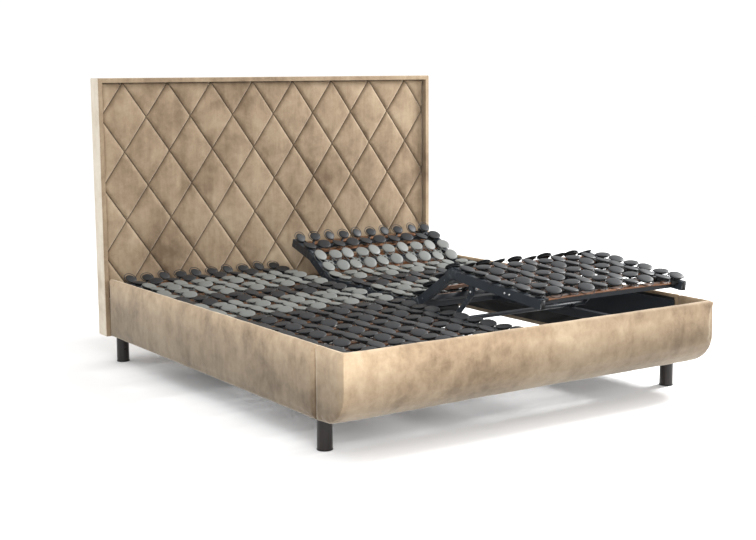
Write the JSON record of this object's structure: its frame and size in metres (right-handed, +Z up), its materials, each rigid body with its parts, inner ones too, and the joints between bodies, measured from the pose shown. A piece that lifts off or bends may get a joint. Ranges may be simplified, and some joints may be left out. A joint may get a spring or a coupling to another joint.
{
  "type": "adjustable double bed with two plate-and-slat bases",
  "caption": "Upholstered double bed, diamond-stitched headboard, rolled footboard and two adjustable bases of sprung slats with round plates; one side shown raised.",
  "frame": {"origin": "on the floor, under the middle of the bed's outline", "axes": "+X across the bed to the right seen from the foot end, +Y toward the headboard, +Z up"},
  "size_m": [1.9, 2.158, 1.341],
  "materials": {
    "velvet": "crushed tan velvet",
    "leg_lacquer": "dark brown satin lacquer",
    "pine": "bare",
    "steel": "satin blue-black powder coat",
    "beech": "brown foil-faced laminated slats",
    "plastic": "charcoal satin",
    "pale_plastic": "light grey satin"
  },
  "bodies": {
    "surround": {"headboard_surround": "velvet", "headboard_panel": "velvet", "left_side_rail": "velvet", "right_side_rail": "velvet", "footboard": "velvet", "front_left_leg": "leg_lacquer", "front_right_leg": "leg_lacquer", "rear_left_leg": "leg_lacquer", "rear_right_leg": "leg_lacquer", "front_left_corner_block": "pine", "front_right_corner_block": "pine", "rear_left_corner_block": "pine", "rear_right_corner_block": "pine", "left_side_ledge": "steel", "right_side_ledge": "steel", "centre_beam": "pine", "centre_leg_1": "steel", "centre_leg_2": "steel", "left_base_frame": "steel", "left_seat_slats": "beech", "left_seat_plates": "pale_plastic", "left_drive_unit": "plastic", "right_base_frame": "steel", "right_seat_slats": "beech", "right_seat_plates": "pale_plastic", "right_drive_unit": "plastic"},
    "left_calf": {"left_calf_frame": "steel", "left_calf_slats": "beech", "left_calf_plates": "plastic"},
    "left_thigh": {"left_thigh_frame": "steel", "left_thigh_slats": "beech", "left_thigh_plates": "plastic"},
    "left_back": {"left_back_frame": "steel", "left_back_slats": "beech", "left_back_plates": "plastic"},
    "left_shoulder": {"left_shoulder_frame": "steel", "left_shoulder_slats": "beech", "left_shoulder_plates": "pale_plastic"},
    "left_neck": {"left_neck_frame": "steel", "left_neck_slats": "beech", "left_neck_plates": "plastic"},
    "left_strut": {"left_knee_strut": "steel"},
    "right_calf": {"right_calf_frame": "steel", "right_calf_slats": "beech", "right_calf_plates": "plastic"},
    "right_thigh": {"right_thigh_frame": "steel", "right_thigh_slats": "beech", "right_thigh_plates": "plastic"},
    "right_back": {"right_back_frame": "steel", "right_back_slats": "beech", "right_back_plates": "plastic"},
    "right_shoulder": {"right_shoulder_frame": "steel", "right_shoulder_slats": "beech", "right_shoulder_plates": "pale_plastic"},
    "right_neck": {"right_neck_frame": "steel", "right_neck_slats": "beech", "right_neck_plates": "plastic"},
    "right_strut": {"right_knee_strut": "steel"}
  },
  "joints": [
    {"name": "left_back_hinge", "type": "hinge", "parent": "surround", "child": "left_back", "pos_m": [-0.456, 0.2415, 0.352], "axis": [1, 0, 0], "range_deg": [-2, 48]},
    {"name": "left_shoulder_hinge", "type": "hinge", "parent": "left_back", "child": "left_shoulder", "pos_m": [-0.456, 0.60428, 0.36467], "axis": [1, 0, 0], "range_deg": [0, 35]},
    {"name": "left_neck_hinge", "type": "hinge", "parent": "left_shoulder", "child": "left_neck", "pos_m": [-0.456, 0.78567, 0.371], "axis": [1, 0, 0], "range_deg": [-15, 35]},
    {"name": "left_thigh_hinge", "type": "hinge", "parent": "surround", "child": "left_thigh", "pos_m": [-0.456, -0.1215, 0.352], "axis": [-1, 0, 0], "range_deg": [0, 36]},
    {"name": "left_calf_hinge", "type": "hinge", "parent": "left_thigh", "child": "left_calf", "pos_m": [-0.456, -0.445, 0.352], "axis": [-1, 0, 0], "range_deg": [-42, 1]},
    {"name": "left_strut_hinge", "type": "hinge", "parent": "surround", "child": "left_strut", "pos_m": [-0.456, -0.379, 0.2995], "axis": [-1, 0, 0], "range_deg": [-1, 56]},
    {"name": "right_back_hinge", "type": "hinge", "parent": "surround", "child": "right_back", "pos_m": [0.456, 0.2415, 0.352], "axis": [1, 0, 0], "range_deg": [-3, 47]},
    {"name": "right_shoulder_hinge", "type": "hinge", "parent": "right_back", "child": "right_shoulder", "pos_m": [0.456, 0.604, 0.371], "axis": [1, 0, 0], "range_deg": [-29, 6]},
    {"name": "right_neck_hinge", "type": "hinge", "parent": "right_shoulder", "child": "right_neck", "pos_m": [0.456, 0.75792, 0.46718], "axis": [1, 0, 0], "range_deg": [0, 50]},
    {"name": "right_thigh_hinge", "type": "hinge", "parent": "surround", "child": "right_thigh", "pos_m": [0.456, -0.1215, 0.352], "axis": [-1, 0, 0], "range_deg": [-32, 4]},
    {"name": "right_calf_hinge", "type": "hinge", "parent": "right_thigh", "child": "right_calf", "pos_m": [0.456, -0.39584, 0.52343], "axis": [-1, 0, 0], "range_deg": [-5, 37.5]},
    {"name": "right_strut_hinge", "type": "hinge", "parent": "surround", "child": "right_strut", "pos_m": [0.456, -0.379, 0.2995], "axis": [-1, 0, 0], "range_deg": [-49.5, 6.5]}
  ],
  "couplings": [
    {"joint": "left_calf_hinge", "follows": "left_thigh_hinge", "ratio": -1.1531},
    {"joint": "left_strut_hinge", "follows": "left_thigh_hinge", "ratio": 1.5234},
    {"joint": "right_calf_hinge", "follows": "right_thigh_hinge", "ratio": -1.1531},
    {"joint": "right_strut_hinge", "follows": "right_thigh_hinge", "ratio": 1.5234}
  ]
}
